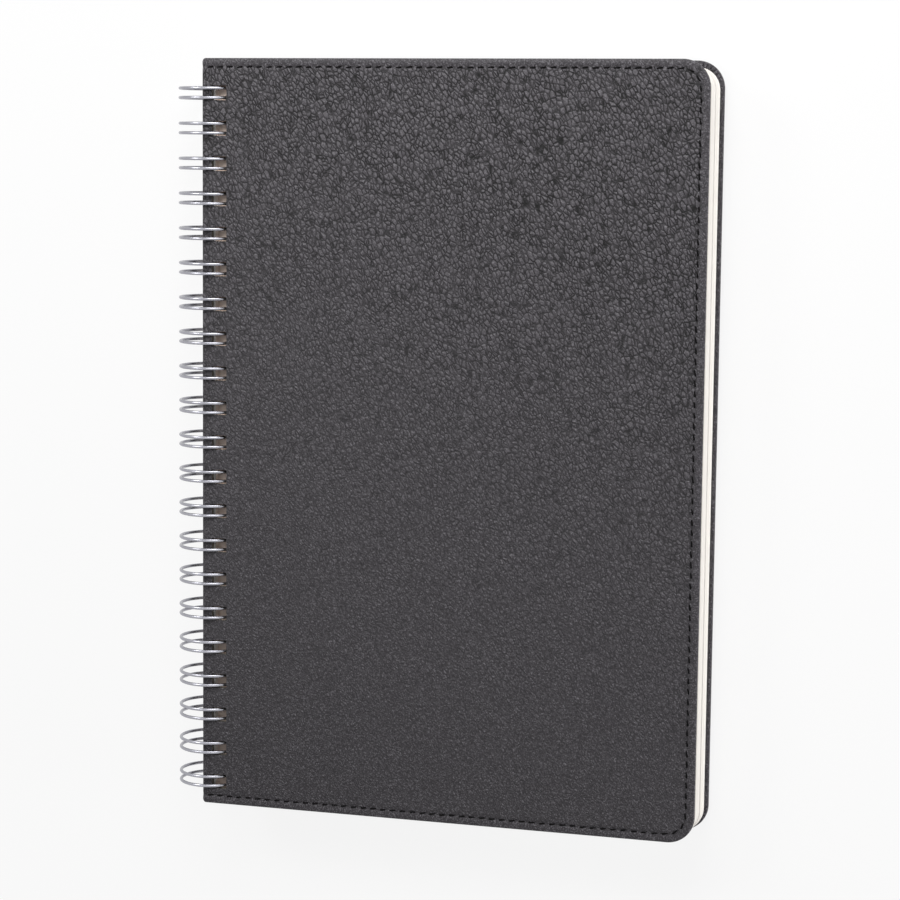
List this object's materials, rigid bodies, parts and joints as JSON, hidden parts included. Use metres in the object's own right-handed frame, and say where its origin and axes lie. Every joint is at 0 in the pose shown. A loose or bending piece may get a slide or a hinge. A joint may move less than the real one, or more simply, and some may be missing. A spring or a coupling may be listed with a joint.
{
  "type": "spiral notebook",
  "caption": "Wire-bound notebook with a stitched grained leather-look cover front and back, rounded fore-edge corners and a thick block of sheets; both covers turn about the wire.",
  "frame": {"origin": "bottom centre of the bounding box, where the closed notebook lies on a table", "axes": "+X from the spine to the fore-edge, +Y up the page along the spine, +Z through the thickness towards the front cover"},
  "size_m": [0.1526, 0.21, 0.0189],
  "materials": {
    "cover_leather": "pebble-grained imitation leather, charcoal, soft sheen",
    "cover_board": "dense grey binder's board",
    "cover_lining": "smooth dark lining paper",
    "stitching_thread": "twisted black sewing thread",
    "page_paper": "uncoated off-white writing paper, cut edges",
    "binding_wire": "bright silver plated steel wire"
  },
  "bodies": {
    "binding": {"wire_binding": "binding_wire", "page_block": "page_paper"},
    "front_cover": {"front_cover_leather": "cover_leather", "front_cover_board": "cover_board", "front_cover_lining": "cover_lining", "front_cover_stitching": "stitching_thread"},
    "back_cover": {"back_cover_leather": "cover_leather", "back_cover_board": "cover_board", "back_cover_lining": "cover_lining", "back_cover_stitching": "stitching_thread"}
  },
  "joints": [
    {"name": "front_cover_hinge", "type": "hinge", "parent": "binding", "child": "front_cover", "pos_m": [-0.06681, 0, 0.00947], "axis": [0, -1, 0], "range_deg": [0, 180]},
    {"name": "back_cover_hinge", "type": "hinge", "parent": "binding", "child": "back_cover", "pos_m": [-0.06681, 0, 0.00947], "axis": [0, 1, 0], "range_deg": [0, 180]}
  ]
}
